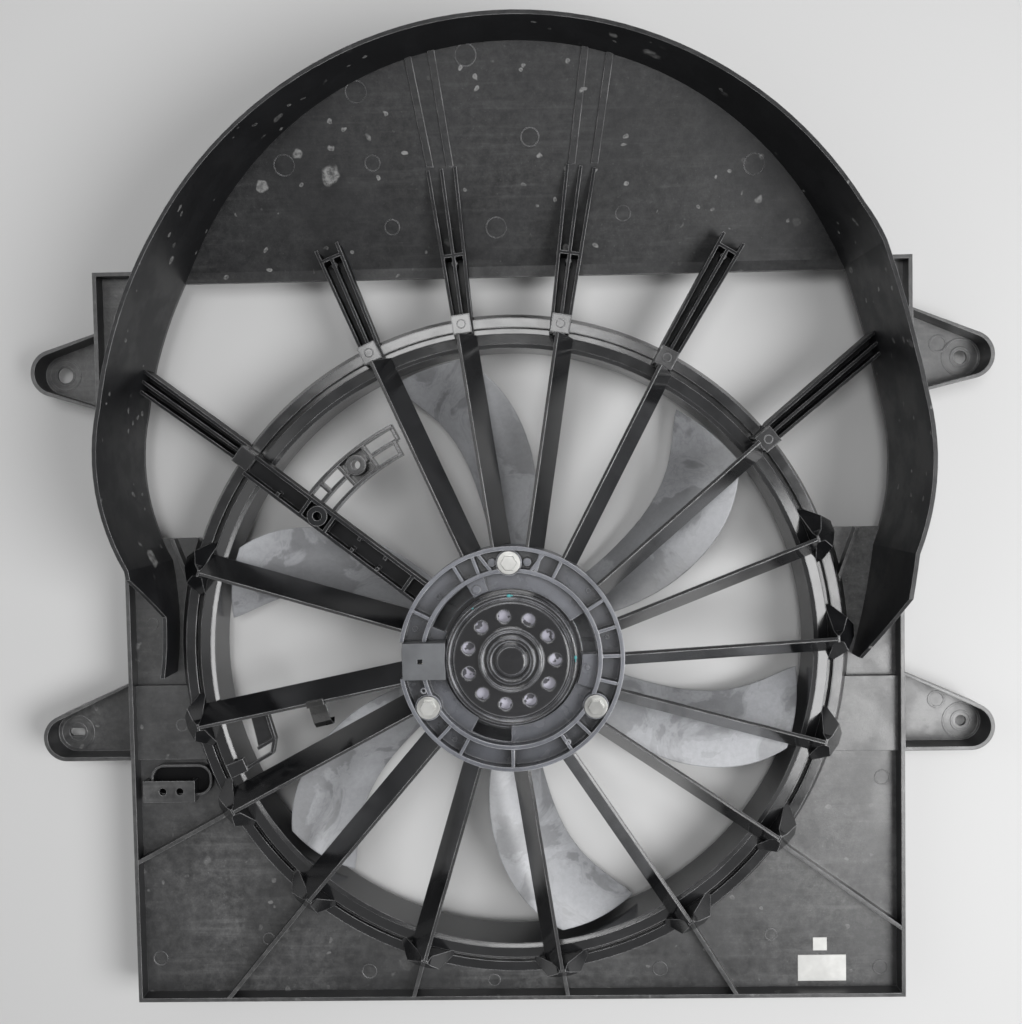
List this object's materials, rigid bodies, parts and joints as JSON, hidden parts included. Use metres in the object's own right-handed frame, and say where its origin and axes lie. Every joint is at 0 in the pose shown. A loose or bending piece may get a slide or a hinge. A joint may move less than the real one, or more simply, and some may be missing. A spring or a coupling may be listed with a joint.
{
  "type": "radiator fan shroud",
  "caption": "Moulded radiator cowl with a hooded fan ring, stator vanes, a central electric motor and a bladed cooling fan that turns behind them.",
  "frame": {"origin": "middle of the cowl's footprint, in the plane of the edge that seals on the radiator", "axes": "+Z points along the fan axis to the engine side, +X along the wide side through the mounting ears, +Y up towards the hood"},
  "size_m": [0.748, 0.7314, 0.122],
  "materials": {
    "shroud_plastic": "black glass-filled nylon, satin moulded, dusty",
    "mount_plastic": "dark blue-grey moulded nylon, satin",
    "fan_plastic": "charcoal moulded polypropylene with dust film",
    "motor_black": "black semi-gloss enamel on deep-drawn steel",
    "zinc_steel": "bright zinc plate",
    "spring_steel": "dull spring steel",
    "bearing_steel": "ground bearing steel",
    "shaft_steel": "turned steel",
    "core_iron": "stacked electrical steel",
    "magnet_black": "sintered ferrite, matte",
    "copper": "enamelled copper",
    "carbon": "pressed carbon, matte",
    "card_plastic": "grey glass-filled plastic, matte",
    "connector_grey": "grey moulded nylon, satin",
    "tin": "tinned brass",
    "label_white": "blank white paper film, matte"
  },
  "bodies": {
    "cowl": {"shroud_panel": "shroud_plastic", "perimeter_wall": "shroud_plastic", "hood_wall": "shroud_plastic", "hood_roof": "shroud_plastic", "fan_ring": "shroud_plastic", "ring_collar": "shroud_plastic", "stator_vanes": "shroud_plastic", "vane_feet": "shroud_plastic", "ring_blocks": "shroud_plastic", "arm_channels": "shroud_plastic", "ladder_arm": "shroud_plastic", "curved_bracket": "shroud_plastic", "side_bracket": "shroud_plastic", "plate_ribs": "shroud_plastic", "gusset_ribs": "shroud_plastic", "ear_pads": "shroud_plastic", "ear_left_upper": "shroud_plastic", "ear_left_lower": "shroud_plastic", "ear_right_upper": "shroud_plastic", "ear_right_lower": "shroud_plastic", "harness_tab": "shroud_plastic", "motor_mount_ring": "mount_plastic", "motor_flange": "motor_black", "motor_can": "motor_black", "motor_end_cap": "motor_black", "rear_bearing_plug": "motor_black", "bearings": "bearing_steel", "magnets": "magnet_black", "brush_card": "card_plastic", "brushes": "carbon", "brush_springs": "spring_steel", "mount_bolts": "zinc_steel", "flange_nuts": "zinc_steel", "connector_housing": "connector_grey", "connector_terminals": "tin", "wire_clip": "spring_steel", "blank_labels": "label_white"},
    "rotor": {"motor_shaft": "shaft_steel", "armature_core": "core_iron", "armature_windings": "copper", "commutator": "copper", "fan_hub": "fan_plastic", "hub_nut": "zinc_steel", "fan_blades": "fan_plastic"}
  },
  "joints": [
    {"name": "fan_spin", "type": "hinge", "parent": "cowl", "child": "rotor", "pos_m": [0, -0.08572, 0.05], "axis": [0, 0, 1], "continuous": true}
  ]
}
